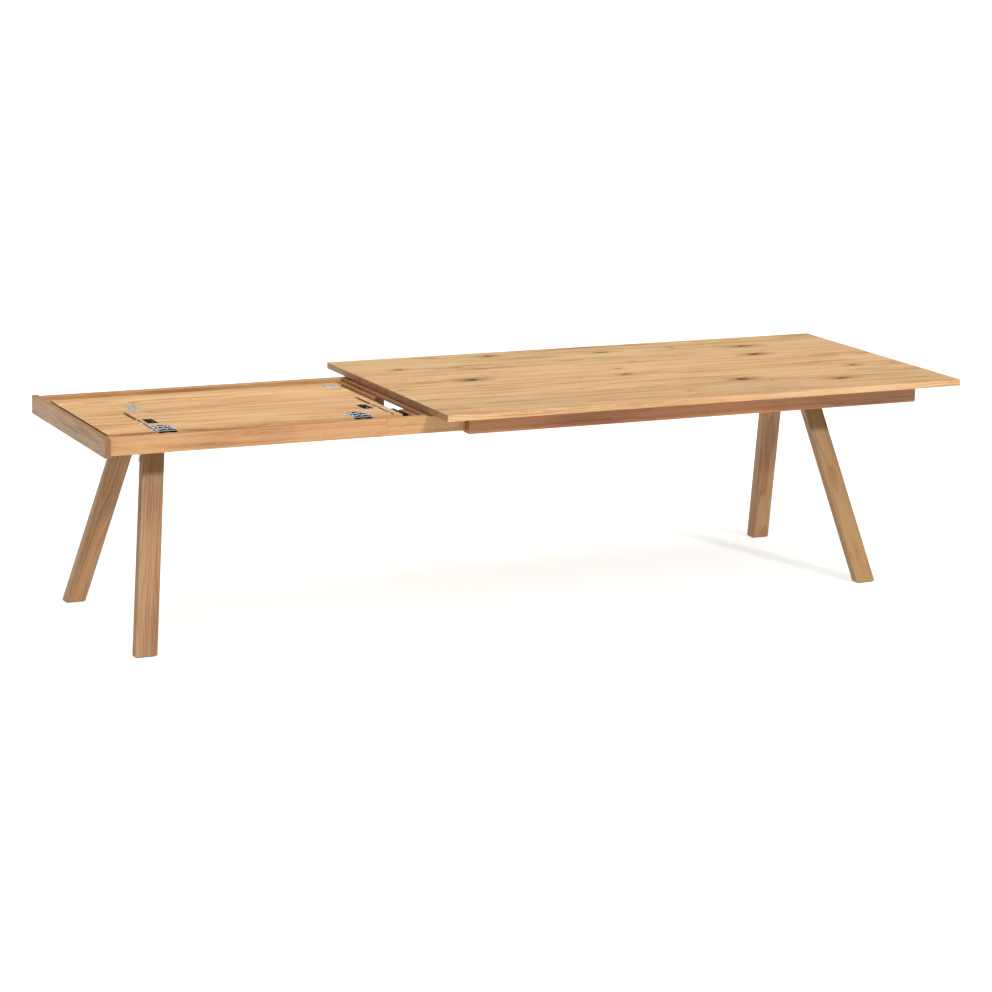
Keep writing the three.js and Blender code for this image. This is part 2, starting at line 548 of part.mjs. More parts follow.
// One plate of a hinge with its knuckles: the upper has the two outer ones and the lower has the middle one.
function hingePlate(x, upper) {
  const sign = upper ? 1 : -1;
  const face = FOLD_Z + sign * (LEAF_FOLD_GAP / 2 + LEAF_THICK);
  const inner = LEAF_Y0 + CONTACT_GAP;
  const parts = [spanZ(x, inner, face - sign * HINGE_PLATE, x + HINGE_WIDTH, LEAF_Y0 + HINGE_REACH, face)];
  const third = HINGE_WIDTH / 3;
  const outer = [[0, third - CONTACT_GAP], [2 * third + CONTACT_GAP, 3 * third]];
  const spans = upper ? outer : [[third, 2 * third]];
  const bores = [];
  for (const [a, b] of spans) {
    const lugTop = face - (sign * HINGE_PLATE) / 2;
    parts.push(spanZ(x + a, inner, FOLD_Z, x + b, LEAF_Y0 + KNUCKLE_RADIUS - CONTACT_GAP, lugTop));
    parts.push(rodX(x + a, x + b, LEAF_Y0, FOLD_Z, KNUCKLE_RADIUS));
    bores.push(rodX(x + a - OVERSHOOT, x + b + OVERSHOOT, LEAF_Y0, FOLD_Z, HINGE_PIN_RADIUS + PIN_CLEARANCE));
  }
  return cut(join(...parts), ...bores);
}

function leaf() {
  const cuts = [];
  for (const [word, x, inward] of slotPlaces()) {
    const half = SLOT_WIDTH / 2;
    const y0 = LEAF_Y0 + SLOT_INSET;
    const y1 = y0 + SLOT_LENGTH;
    const outline = roundedOutline(x - half, y0, x + half, y1, Array(4).fill(half - CONTACT_GAP));
    cuts.push(prism(outline, LEAF_TOP - SLOT_DEPTH, LEAF_TOP + OVERSHOOT));
    const barZ = LEAF_TOP - SLOT_DEPTH + CONTACT_GAP;
    piece("lock_bar_" + word, block(x - BAR_WIDTH / 2, y0 + half, barZ,
      x + BAR_WIDTH / 2, y0 + SLOT_LENGTH * BAR_SHARE, barZ + BAR_HEIGHT), STEEL);

    const nearX = x + inward * (half + CATCH_OFFSET);
    const farX = nearX + inward * CATCH_WIDTH;
    const catchX0 = Math.min(nearX, farX);
    const catchY = LEAF_Y0 + CATCH_FRONT;
    const catchEnd = catchY + CATCH_LENGTH;
    cuts.push(plateSeat(catchX0, catchY, catchX0 + CATCH_WIDTH, catchEnd, CATCH_THICK));
    piece("leaf_catch_" + word, block(catchX0, catchY, LEAF_TOP - CATCH_THICK,
      catchX0 + CATCH_WIDTH, catchEnd, LEAF_TOP), BLACK_STEEL);
  }
  const keeperX = LEAF_X0 + KEEPER_INSET;
  const keeperY = LEAF_Y1 - KEEPER_BACK;
  cuts.push(plateSeat(keeperX, keeperY, keeperX + KEEPER_WIDTH, keeperY + KEEPER_LENGTH));
  piece("keeper_plate", block(keeperX, keeperY, LEAF_TOP - PLATE_THICK,
    keeperX + KEEPER_WIDTH, keeperY + KEEPER_LENGTH, LEAF_TOP), STEEL);
  for (const x of [LEAF_X0 + SOCKET_INSET_LEFT, LEAF_X1 - SOCKET_INSET_RIGHT]) {
    cuts.push(rodZ(x, LEAF_Y1 - SOCKET_BACK, LEAF_TOP - SOCKET_DEPTH, LEAF_TOP + OVERSHOOT, SOCKET_RADIUS));
  }
  const front = LEAF_Y0 + CONTACT_GAP;
  const upperBoard = block(LEAF_X0, front, FOLD_Z + LEAF_FOLD_GAP / 2, LEAF_X1, LEAF_Y1, LEAF_TOP);
  piece("leaf_upper", cut(upperBoard, ...cuts, ...hingePockets(true)), OAK);
  const lowerBoard = block(LEAF_X0, front, LEAF_BOTTOM, LEAF_X1, LEAF_Y1, FOLD_Z - LEAF_FOLD_GAP / 2);
  const pinBores = LEAF_ENDS.map(([, endX, out]) =>
    spanRodX(endX - out * (PIN_BITE + CONTACT_GAP), endX + out * OVERSHOOT, PIN_RADIUS + PIN_CLEARANCE));
  piece("leaf_lower", cut(lowerBoard, ...pinBores, ...hingePockets(false)), OAK);
  for (const [word, endX, out] of LEAF_ENDS) {
    piece("leaf_pin_" + word, spanRodX(endX - out * PIN_BITE, endX + out * PIN_REACH, PIN_RADIUS), STEEL);
  }
  for (const [word, x] of hingeSpans()) {
    piece("hinge_upper_" + word, hingePlate(x, true), BLACK_STEEL);
    piece("hinge_lower_" + word, hingePlate(x, false), STEEL);
    piece("hinge_pin_" + word, rodX(x, x + HINGE_WIDTH, LEAF_Y0, FOLD_Z, HINGE_PIN_RADIUS), STEEL);
  }
}

// The grooves: their names, their middles and the way to the leaf's middle.
function slotPlaces() {
  return [
    ["left", LEAF_X0 + SLOT_INSET_LEFT, 1],
    ["right", LEAF_X1 - SLOT_INSET_RIGHT, -1],
  ];
}

mainFrame();
extensionFrame();
leaf();

// The part's origin is on the floor, midway between the two ends.
table.position.x = -(EXT_END_X0 + TOP_LENGTH) / 2;
const root = new THREE.Group();
root.add(table);
export default root;
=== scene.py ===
# An extendable oak dining table, pulled out with its leaf still folded in the well, on a pale floor in soft
# light. Every visible CAD node gets a finer twin here, and the fittings get their small parts.
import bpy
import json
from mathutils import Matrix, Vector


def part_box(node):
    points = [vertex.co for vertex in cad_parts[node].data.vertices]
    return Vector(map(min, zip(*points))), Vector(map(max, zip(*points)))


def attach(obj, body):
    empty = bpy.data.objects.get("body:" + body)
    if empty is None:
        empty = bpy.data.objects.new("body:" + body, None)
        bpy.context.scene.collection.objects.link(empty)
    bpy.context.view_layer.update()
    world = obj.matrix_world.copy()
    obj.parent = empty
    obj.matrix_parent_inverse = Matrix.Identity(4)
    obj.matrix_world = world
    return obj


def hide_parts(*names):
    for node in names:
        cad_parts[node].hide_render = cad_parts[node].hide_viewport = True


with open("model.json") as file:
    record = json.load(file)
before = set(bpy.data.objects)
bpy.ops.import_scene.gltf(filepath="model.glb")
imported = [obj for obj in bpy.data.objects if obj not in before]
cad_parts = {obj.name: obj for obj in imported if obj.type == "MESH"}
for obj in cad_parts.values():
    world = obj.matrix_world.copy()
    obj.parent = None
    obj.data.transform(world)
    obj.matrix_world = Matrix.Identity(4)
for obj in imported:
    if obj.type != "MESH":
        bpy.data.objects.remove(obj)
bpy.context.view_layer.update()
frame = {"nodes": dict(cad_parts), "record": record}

import json
import math
import random

import bmesh
import bpy
from mathutils import Matrix, Vector

MM = 0.001
BODY_OF = {node: body for body, nodes in frame["record"]["behaviour"]["bodies"].items() for node in nodes}
SLOT_OF = {part["node"]: part["material_slot"] for part in frame["record"]["subparts"]}
dice = random.Random(7)

# ---- colour and node helpers ----


def colour(hex_code):
    """An sRGB hex colour as the linear values that a shader takes."""
    parts = [int(hex_code[i : i + 2], 16) / 255 for i in (1, 3, 5)]
    return tuple(c / 12.92 if c <= 0.04045 else ((c + 0.055) / 1.055) ** 2.4 for c in parts) + (1.0,)


def add(tree, kind, *values, **settings):
    """Adds a node with its settings, and fills its inputs in order: sockets are linked, None skips one."""
    node = tree.nodes.new("ShaderNode" + kind)
    for name, value in settings.items():
        setattr(node, name, value)
    for socket, value in zip(node.inputs, values):
        if isinstance(value, bpy.types.NodeSocket):
            tree.links.new(value, socket)
        elif value is not None:
            socket.default_value = value
    return node


def new_material(name):
    """An empty node material with one shader, and what is needed to fill it."""
    material = bpy.data.materials.new(name)
    material.use_nodes = True
    tree = material.node_tree
    tree.nodes.clear()
    shader = add(tree, "BsdfPrincipled")
    add(tree, "OutputMaterial", shader.outputs[0])
    return material, tree, shader


def set_ramp(ramp_node, *stops):
    """Colour stops as (place, hex) pairs."""
    elements = ramp_node.color_ramp.elements
    while len(elements) < len(stops):
        elements.new(0.5)
    for element, (place, hex_code) in zip(elements, stops):
        element.position = place
        element.color = colour(hex_code)
    return ramp_node


def bump(tree, shader, height, depth_mm):
    """Relief of a real depth, from a height between 0 and 1."""
    node = add(tree, "Bump", None, depth_mm * MM, None, height)
    node.inputs["Strength"].default_value = 1.0
    node.inputs["Distance"].default_value = depth_mm * MM
    tree.links.new(node.outputs[0], shader.inputs["Normal"])


# ---- oak ----
# Solid oak, planed and oiled: a warm satin board whose growth rings are real cylinders round each plank's own
# pith, so that faces, edges and end grain are cuts of the same log.
RING_MM = 5.0
YEARS_MM = 13.0  # runs of broad and narrow years
YEAR_LENGTH_MM = 900
BEND_MM = 31.2  # how far a log's rings wander
BEND_LENGTH_MM = 520
BEND_WIDTH_MM = 110
PITH_ASIDE_MM = 95  # the pith lies up to this far beside the plank's middle
PITH_NEAR_MM = 12  # and this far below it, to PITH_SPAN_MM further
PITH_SPAN_MM = 85
SWAY_PER_MM = 0.017  # planks are glued up in slightly uneven widths
SWAY_SHARE = 0.09
FIBRE_MM = 1.6  # fibres and open pores are drawn a little coarser than real so that they show
FIBRE_LENGTH_MM = 70
PORE_MM = 0.9
PORE_LENGTH_MM = 14
CLOUD_MM = 34  # soft bands of tone
CLOUD_LENGTH_MM = 420
PATCH_MM = 90
PATCH_LENGTH_MM = 260
GLUE_LINE_MM = 0.9  # drawn wider than real so that it shows
BUTT_SEED_STEP = 31
LEAF_LEVEL_MM = 700  # the pattern's depth is measured from here, near the boards
RELIEF_MM = 0.35
OIL_IOR = 1.47
OIL_ROUGHNESS = 0.5


def streaks(tree, s, t, d, long_mm, wide_mm, detail):
    """Noise drawn out along the grain."""
    spot = add(tree, "CombineXYZ", add(tree, "Math", s, 1 / long_mm, operation="MULTIPLY").outputs[0],
               add(tree, "Math", t, 1 / wide_mm, operation="MULTIPLY").outputs[0],
               add(tree, "Math", d, 1 / wide_mm, operation="MULTIPLY").outputs[0]).outputs[0]
    return add(tree, "TexNoise", spot, None, 1.0, detail, 0.6).outputs["Fac"]


def knotted(tree, s, t, radius, knots):
    """Knots push the rings aside, and stain their own middles with a soft halo round a ragged core."""
    stain = None
    for knot_s, knot_t, size, stretch, depth in knots:
        off_s = add(tree, "Math", s, -knot_s, operation="ADD").outputs[0]
        off_t = add(tree, "Math", t, -knot_t, operation="ADD").outputs[0]
        long_share = add(tree, "Math", off_s, 1 / (size * stretch), operation="MULTIPLY").outputs[0]
        wide_share = add(tree, "Math", off_t, 1 / size, operation="MULTIPLY").outputs[0]
        off = add(tree, "CombineXYZ", long_share, wide_share, knot_s * 0.01).outputs[0]
        rough_edge = add(tree, "TexNoise", off, None, 1.1, 5.0, 0.75).outputs["Fac"]
        level_off = add(tree, "VectorMath", off, (1, 1, 0), operation="MULTIPLY").outputs[0]
        span = add(tree, "VectorMath", level_off, operation="LENGTH").outputs["Value"]
        ragged = add(tree, "Math", rough_edge, 2.6, span, operation="MULTIPLY_ADD").outputs[0]
        squared = add(tree, "Math", span, span, operation="MULTIPLY").outputs[0]
        swell = add(tree, "Math", squared, -0.22, operation="MULTIPLY").outputs[0]
        push = add(tree, "Math", 2.718, swell, operation="POWER").outputs[0]
        radius = add(tree, "Math", push, size * 1.1, radius, operation="MULTIPLY_ADD").outputs[0]
        core = add(tree, "MapRange", ragged, 1.7, 2.2, depth, 0.0, interpolation_type="SMOOTHSTEP").outputs[0]
        halo = add(tree, "MapRange", ragged, 1.8, 4.4, 0.36 * depth, 0.0,
                   interpolation_type="SMOOTHSTEP").outputs[0]
        mark = add(tree, "Math", core, halo, operation="MAXIMUM").outputs[0]
        stain = mark if stain is None else add(tree, "Math", stain, mark, operation="MAXIMUM").outputs[0]
    return radius, stain


def oak(name, light, mid, dark, plank_mm, seed, along=(1, 0, 0), across=(0, 1, 0), deep=(0, 0, 1), knots=(),
        tone_spread=0.16, offset_mm=0.0, butt_mm=None):
    """Oiled oak with its grain along one axis, in planks laid side by side across another."""
    material, tree, shader = new_material(name)
    place = add(tree, "TexCoord").outputs["Object"]
    mm = add(tree, "VectorMath", place, (1 / MM, 1 / MM, 1 / MM), operation="MULTIPLY").outputs[0]
    s = add(tree, "VectorMath", mm, along, operation="DOT_PRODUCT").outputs["Value"]
    t = add(tree, "VectorMath", mm, across, operation="DOT_PRODUCT").outputs["Value"]
    d = add(tree, "VectorMath", mm, deep, operation="DOT_PRODUCT").outputs["Value"]

    # planks of slightly uneven width, each with its own log
    swing = add(tree, "Math", t, SWAY_PER_MM, operation="MULTIPLY").outputs[0]
    sway = add(tree, "Math", swing, operation="SINE").outputs[0]
    uneven = add(tree, "Math", sway, plank_mm * SWAY_SHARE, t, operation="MULTIPLY_ADD").outputs[0]
    shifted = add(tree, "Math", uneven, offset_mm, operation="ADD").outputs[0]
    count = add(tree, "Math", shifted, plank_mm, operation="DIVIDE").outputs[0]
    index = add(tree, "Math", count, operation="FLOOR").outputs[0]
    share = add(tree, "Math", count, index, operation="SUBTRACT").outputs[0]
    within = add(tree, "Math", share, -0.5, operation="ADD").outputs[0]
    seeded = add(tree, "Math", index, seed, operation="ADD").outputs[0]
    if butt_mm is not None:
        beyond = add(tree, "Math", s, butt_mm, operation="GREATER_THAN").outputs[0]
        seeded = add(tree, "Math", beyond, BUTT_SEED_STEP, seeded, operation="MULTIPLY_ADD").outputs[0]
    chance = add(tree, "TexWhiteNoise", None, seeded, noise_dimensions="1D")
    log = add(tree, "SeparateColor", chance.outputs["Color"])
    r1, r2, r3 = log.outputs[0], log.outputs[1], log.outputs[2]

    # distance from the pith, with the log's own bends
    local = add(tree, "Math", within, plank_mm, operation="MULTIPLY").outputs[0]
    pith_t = add(tree, "Math", r1, 2 * PITH_ASIDE_MM, -PITH_ASIDE_MM, operation="MULTIPLY_ADD").outputs[0]
    pith_d = add(tree, "Math", r2, PITH_SPAN_MM, PITH_NEAR_MM, operation="MULTIPLY_ADD").outputs[0]
    dt = add(tree, "Math", local, pith_t, operation="SUBTRACT").outputs[0]
    dd = add(tree, "Math", d, pith_d, operation="ADD").outputs[0]
    datum = LEAF_LEVEL_MM if abs(deep[2]) > 0.5 else 0
    base_level = add(tree, "Math", dd, datum, operation="SUBTRACT").outputs[0]
    flat = add(tree, "CombineXYZ", dt, base_level, 0.0).outputs[0]
    radius = add(tree, "VectorMath", flat, operation="LENGTH").outputs["Value"]
    start = add(tree, "Math", r3, 37, operation="MULTIPLY").outputs[0]
    far = add(tree, "Math", s, 1 / BEND_LENGTH_MM, start, operation="MULTIPLY_ADD").outputs[0]
    bend_place = add(tree, "CombineXYZ", far,
                     add(tree, "Math", t, 1 / BEND_WIDTH_MM, operation="MULTIPLY").outputs[0],
                     add(tree, "Math", d, 1 / BEND_WIDTH_MM, operation="MULTIPLY").outputs[0]).outputs[0]
    bend = add(tree, "TexNoise", bend_place, None, 1.0, 2.0, 0.5).outputs["Fac"]
    radius = add(tree, "Math", bend, BEND_MM, radius, operation="MULTIPLY_ADD").outputs[0]
    radius, stain = knotted(tree, s, t, radius, knots)

    # annual rings: broad year-to-year tone, then the sharper dark line of pores that starts each ring
    year_count = add(tree, "Math", radius, 1 / YEARS_MM, operation="MULTIPLY").outputs[0]
    year_place = add(tree, "CombineXYZ", year_count,
                     add(tree, "Math", s, 1 / YEAR_LENGTH_MM, operation="MULTIPLY").outputs[0],
                     add(tree, "Math", r3, 60, operation="MULTIPLY").outputs[0]).outputs[0]
    years = add(tree, "TexNoise", year_place, None, 1.0, 4.0, 0.62).outputs["Fac"]
    drift = add(tree, "Math", years, 1.5, operation="MULTIPLY").outputs[0]
    phase = add(tree, "Math", radius, 1 / RING_MM, drift, operation="MULTIPLY_ADD").outputs[0]
    saw = add(tree, "Math", phase, operation="FRACT").outputs[0]
    line = add(tree, "MapRange", saw, 0.0, 0.75, 1.0, 0.0, interpolation_type="SMOOTHSTEP").outputs[0]

    # what each layer adds to the tone
    fibre = streaks(tree, s, t, d, FIBRE_LENGTH_MM, FIBRE_MM, 3.0)
    pores = streaks(tree, s, t, d, PORE_LENGTH_MM, PORE_MM, 1.0)
    pore = add(tree, "MapRange", pores, 0.60, 0.72, 0.0, 1.0).outputs[0]
    cloud = streaks(tree, s, t, d, CLOUD_LENGTH_MM, CLOUD_MM, 3.0)
    patch = streaks(tree, s, t, d, PATCH_LENGTH_MM, PATCH_MM, 2.0)
    grain = add(tree, "Math", line, -0.17, 0.20, operation="MULTIPLY_ADD").outputs[0]
    for layer, weight in ((years, 0.62), (fibre, 0.34), (cloud, 0.62), (patch, 0.3), (pore, -0.12)):
        grain = add(tree, "Math", layer, weight, grain, operation="MULTIPLY_ADD").outputs[0]
    level = add(tree, "MapRange", grain, 0.77, 1.23, 0.0, 1.0).outputs[0]
    ramp = set_ramp(add(tree, "ValToRGB", level), (0.05, dark), (0.42, mid), (0.85, light))

    # each plank's own tone, and the glue line where two lengths meet
    tone = add(tree, "Math", r2, tone_spread, 1 - tone_spread / 2, operation="MULTIPLY_ADD").outputs[0]
    hue = add(tree, "Math", r1, 0.008, 0.492, operation="MULTIPLY_ADD").outputs[0]
    shade = add(tree, "HueSaturation", hue, 1.0, tone, None, ramp.outputs[0]).outputs[0]
    if butt_mm is not None:
        aside = add(tree, "Math", s, butt_mm, operation="SUBTRACT").outputs[0]
        away = add(tree, "Math", aside, operation="ABSOLUTE").outputs[0]
        glue = add(tree, "MapRange", away, GLUE_LINE_MM / 2, GLUE_LINE_MM, 0.6, 0.0).outputs[0]
        shade = add(tree, "MixRGB", glue, shade, colour("#6B4626"), blend_type="MIX").outputs[0]

    # end grain drinks more oil: darker and browner
    normal = add(tree, "NewGeometry").outputs["Normal"]
    cosine = add(tree, "VectorMath", normal, along, operation="DOT_PRODUCT").outputs["Value"]
    facing = add(tree, "Math", cosine, operation="ABSOLUTE").outputs[0]
    end = add(tree, "MapRange", facing, 0.75, 0.97, 0.0, 0.6).outputs[0]
    shade = add(tree, "MixRGB", end, shade, colour("#7A4B2B"), blend_type="MIX").outputs[0]
    if stain is not None:
        brown = set_ramp(add(tree, "ValToRGB", stain), (0.0, "#A87C48"), (0.45, "#7A5029"), (1.0, "#20130A"))
        amount = add(tree, "MapRange", stain, 0.0, 0.5, 0.0, 1.0).outputs[0]
        shade = add(tree, "MixRGB", amount, shade, brown.outputs[0], blend_type="MIX").outputs[0]
    tree.links.new(shade, shader.inputs["Base Color"])

    # paler wood is smoother, and pores are hollows
    rough = add(tree, "Math", grain, -0.22, OIL_ROUGHNESS + 0.22, operation="MULTIPLY_ADD").outputs[0]
    tree.links.new(rough, shader.inputs["Roughness"])
    shader.inputs["IOR"].default_value = OIL_IOR
    relief = add(tree, "Math", pore, -0.6, grain, operation="MULTIPLY_ADD").outputs[0]
    bump(tree, shader, relief, RELIEF_MM)
    return material


# ---- metals, plastic and felt ----


SCRATCH_MM = 0.6  # the drawn lines' width, along X
SCRATCH_STRETCH = 40
RUBBED_PER_M = 60.0
LINE_DEPTH_MM = 0.02


def metal(name, tint, roughness, metallic=1.0):
    """Plated or painted steel with a fine drawn surface and a few rubbed patches."""
    material, tree, shader = new_material(name)
    place = add(tree, "TexCoord").outputs["Object"]
    across = 1 / (SCRATCH_MM * MM)
    drawn = add(tree, "VectorMath", place, (across / SCRATCH_STRETCH, across, across),
                operation="MULTIPLY").outputs[0]
    lines = add(tree, "TexNoise", drawn, None, 1.0, 3.0, 0.6).outputs["Fac"]
    patch = add(tree, "TexNoise", place, None, RUBBED_PER_M, 3.0, 0.6).outputs["Fac"]
    half = add(tree, "Math", patch, 0.5, operation="MULTIPLY").outputs[0]
    both = add(tree, "Math", lines, 0.5, half, operation="MULTIPLY_ADD").outputs[0]
    tint_ramp = set_ramp(add(tree, "ValToRGB", both), (0.3, tint[0]), (0.7, tint[1]))
    tree.links.new(tint_ramp.outputs[0], shader.inputs["Base Color"])
    rough = add(tree, "MapRange", both, 0.3, 0.7, roughness - 0.08, roughness + 0.12).outputs[0]
    tree.links.new(rough, shader.inputs["Roughness"])
    shader.inputs["Metallic"].default_value = metallic
    bump(tree, shader, lines, LINE_DEPTH_MM)
    return material


def plastic(name, tint, roughness, grain_mm=0.8, depth_mm=0.03):
    """Matt stuff with a fine random grain, moulded or pressed."""
    material, tree, shader = new_material(name)
    place = add(tree, "TexCoord").outputs["Object"]
    speck = add(tree, "TexNoise", place, None, 1 / (grain_mm * MM), 3.0, 0.6).outputs["Fac"]
    tint_ramp = set_ramp(add(tree, "ValToRGB", speck), (0.3, tint[0]), (0.7, tint[1]))
    tree.links.new(tint_ramp.outputs[0], shader.inputs["Base Color"])
    rough = add(tree, "MapRange", speck, 0.3, 0.7, roughness - 0.06, roughness + 0.06).outputs[0]
    tree.links.new(rough, shader.inputs["Roughness"])
    bump(tree, shader, speck, depth_mm)
    return material


# ---- what the frame says ----
TOP_LOW, TOP_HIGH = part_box("tabletop")
TOP_X0 = TOP_LOW.x / MM  # the tabletop's left end, front edge at -TOP_Y
TOP_Y = TOP_HIGH.y / MM

# Knots in the tabletop: distance from its left end and from its front edge, half width, stretch along the
# grain, and how dark it is.
TOP_KNOTS = [
    (181, 818, 12, 2.0, 0.7),
    (342, 560, 22, 1.9, 1.0),
    (43, 463, 9, 1.8, 0.5),
    (602, 969, 13, 2.2, 0.9),
    (720, 465, 9, 1.6, 0.35),
    (910, 482, 12, 2.2, 0.8),
    (936, 591, 10, 2.0, 0.4),
    (1055, 705, 10, 2.0, 0.4),
    (1038, 908, 11, 4.0, 0.75),
    (1335, 927, 10, 2.0, 0.5),
    (1262, 266, 20, 2.0, 1.0),
    (976, 133, 9, 2.0, 0.4),
    (1608, 166, 14, 2.8, 0.95),
    (1568, 694, 15, 2.8, 1.0),
    (1610, 862, 14, 3.4, 0.95),
    (1791, 382, 13, 2.0, 0.6),
    (1961, 372, 8, 2.0, 0.4),
]
LEG_LEAN = 0.174  # how far the grain in a leg leans along the table, per unit of height
LEG_RAKE = 0.3955  # and towards the front or back


def leg_axes(lean, side):
    """The pattern axes of a leg: along it, and across its two faces, with the lean taken out."""
    return {"along": (0, 0, 1), "across": (1, 0, -lean * LEG_LEAN), "deep": (0, 1, side * LEG_RAKE)}


RAIL_JOINT_MM = TOP_X0 - 154  # the butt joint in the extension rails, just left of the tabletop
RAIL_BOARD_MM = 900  # wider than any rail, so that a rail is one plank
RAIL_OFFSET_MM = 180
RAIL_AXES = {"across": (0, 0, 1), "deep": (0, 1, 0)}
CROSS_AXES = {"along": (0, 1, 0), "across": (0, 0, 1), "deep": (1, 0, 0)}

# Wild oak with knots on top, calmer boards in the leaf, rails under the tabletop darkened as painted shade of
# its overhang, and pale beech with hardly any figure inside.
WOODS = {
    "tabletop": oak("wild oak tabletop, oiled", plank_mm=112, seed=3, offset_mm=30, tone_spread=0.24,
                    light="#D3B07E", mid="#BD9563", dark="#8F6439",
                    knots=[(TOP_X0 + x, y - TOP_Y, *shape) for x, y, *shape in TOP_KNOTS]),
    "leaf": oak("oak leaf board, oiled", plank_mm=128, seed=41, tone_spread=0.2,
                light="#D8B27F", mid="#C29862", dark="#966A3B"),
    "rail": oak("oak rail, oiled", plank_mm=RAIL_BOARD_MM, seed=12, offset_mm=RAIL_OFFSET_MM, light="#C39A68",
                mid="#AF8351", dark="#875A33", butt_mm=RAIL_JOINT_MM, **RAIL_AXES),
    # painted shade: the main rails sit in the tabletop's shadow, so their oak is painted darker and browner
    # than the other rails
    "main_rail": oak("oak rail darkened as painted shade, oiled", plank_mm=RAIL_BOARD_MM, seed=12, offset_mm=RAIL_OFFSET_MM,
                     light="#AE7F50", mid="#98693F", dark="#724828", **RAIL_AXES),
    # painted shade: the cross rail sits in shadow under the tabletop, so its oak is painted darker and
    # browner
    "cross": oak("oak cross rail darkened as painted shade, oiled", plank_mm=RAIL_BOARD_MM, seed=29, offset_mm=RAIL_OFFSET_MM,
                 light="#A6774D", mid="#90623B", dark="#6A4325", **CROSS_AXES),
    "end": oak("oak end board, oiled", plank_mm=RAIL_BOARD_MM, seed=17, offset_mm=RAIL_OFFSET_MM,
               light="#A5815A", mid="#916E48", dark="#704F31", **CROSS_AXES),
    "beech": oak("plain beech, waxed", along=(0, 1, 0), across=(1, 0, 0), plank_mm=500, seed=23,
                 light="#C2A078", mid="#AE8A62", dark="#8E6B46"),
}
METALS_AND_SOFTS = {
    # a thin bright plating, milky from its passivation, with soft highlights
    "steel": metal("zinc-plated steel, passivated", ("#BFC1C4", "#E4E5E7"), 0.34, metallic=0.6),
    # near black, with a low sheen that shows only on edges
    "black_steel": metal("black painted steel", ("#1C1D1F", "#303236"), 0.45),
    # dull black with a fine moulded grain
    "nylon": plastic("black nylon, moulded", ("#1F1E1D", "#302E2C"), 0.5),
    # brown fibres with no highlight at all
    "felt": plastic("wool felt, pressed", ("#5B4C3F", "#7A6858"), 0.95, grain_mm=1.2, depth_mm=0.2),
}


def finish_of(node):
    """The finish of a CAD node; each leg gets an oak of its own."""
    if node == "tabletop":
        return WOODS["tabletop"]
    if node in ("leaf_upper", "leaf_lower", "tray_strip"):
        return WOODS["leaf"]
    if "_leg_front" in node or "_leg_back" in node:
        lean = 1 if node.startswith("ext") else -1
        side = 1 if node.endswith("back") else -1
        return oak("oak leg, oiled, " + node, plank_mm=700, seed=dice.randint(1, 90), light="#A27F52",
                   mid="#906B42", dark="#7B5734", offset_mm=350, **leg_axes(lean, side))
    if node == "well_cross_rail":
        return WOODS["cross"]
    if node.startswith("main_rail"):
        return WOODS["main_rail"]
    if SLOT_OF[node] == "oak_frame":
        return WOODS["end" if "end_board" in node else "rail"]
    if SLOT_OF[node] == "beech":
        return WOODS["beech"]
    return METALS_AND_SOFTS[SLOT_OF[node]]


# ---- the CAD pieces, with eased edges ----
ROUNDED_SLOTS = ("oak_leg", "steel", "felt")  # pieces with turned or rounded faces
EASE_MM = {"oak_board": 1.8, "oak_frame": 1.5, "oak_leg": 2.0, "beech": 1.0, "steel": 0.3, "black_steel": 0.4,
           "nylon": 0.5, "felt": 0.5}
EASE_STEPS = 3
FLAT_DEGREES = 0.5  # faces this close to one plane become one face
EDGE_DEGREES = 35  # sharper corners than this are eased


def dressed(node):
    """The node's own solid with its edges eased, in the node's place."""
    source = frame["nodes"][node]
    mesh = source.data.copy()
    mesh.materials.clear()
    work = bmesh.new()
    work.from_mesh(mesh)
    bmesh.ops.remove_doubles(work, verts=work.verts, dist=1e-6)
    bmesh.ops.dissolve_limit(work, angle_limit=math.radians(FLAT_DEGREES), verts=work.verts, edges=work.edges)
    work.to_mesh(mesh)
    work.free()
    piece = bpy.data.objects.new(node + "_fine", mesh)
    bpy.context.collection.objects.link(piece)
    mesh.materials.append(finish_of(node))
    rounded_piece = SLOT_OF[node] in ROUNDED_SLOTS
    for face in mesh.polygons:
        face.use_smooth = rounded_piece
    bevel = piece.modifiers.new("eased edges", "BEVEL")
    bevel.width = EASE_MM[SLOT_OF[node]] * MM
    bevel.segments = EASE_STEPS
    bevel.limit_method = "ANGLE"
    bevel.angle_limit = math.radians(EDGE_DEGREES)
    bevel.harden_normals = rounded_piece
    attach(piece, BODY_OF[node])
    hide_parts(node)


for node_name in sorted(frame["nodes"]):
    dressed(node_name)

# ---- fittings: screws, links, pivots and rims ----
ROUND = 24  # points in a turned piece's rings
CORNER_ROUND = ROUND // 4
LIFT_MM = 0.15  # loose fittings lie this far above the wood, so that no faces meet
HINGE_BASE_MM = 0.5
HINGE_LINK_MM = 1.2
HINGE_MARGIN_MM = 6  # the base reaches this far past the CAD plate
HINGE_OPENING_MM = 9
LINK_WIDTH_MM = 13
LINK_ROUND_MM = 6.4
CROSS_PIN_MM = 0.95
TOOTH_MM = 1.0
TOOTH_PITCH_MM = 11
TEETH = 6
SPINE_LOW_MM = 1.1
SPINE_TOP_MM = 1.8
CLIP_MM = 1.2
RIM_MM = 0.7
BRACKET_MM = 3.0  # the leg brackets' plate thickness
BRACKET_SCREW_DROPS_MM = (9, 29)


def ring(centre, axis, radius_mm, along_mm):
    """A circle's points round an axis, at a distance along it."""
    turn = Vector(axis).to_track_quat("Z", "Y").to_matrix()
    steps = [2 * math.pi * i / ROUND for i in range(ROUND)]
    local = [Vector((radius_mm * math.cos(a), radius_mm * math.sin(a), along_mm)) * MM for a in steps]
    return [Vector(centre) + turn @ point for point in local]


def turned(centre, axis, profile):
    """A turned solid: its profile is (radius, distance along the axis) in mm, capped at both ends."""
    return [ring(centre, axis, radius, along) for radius, along in profile], False


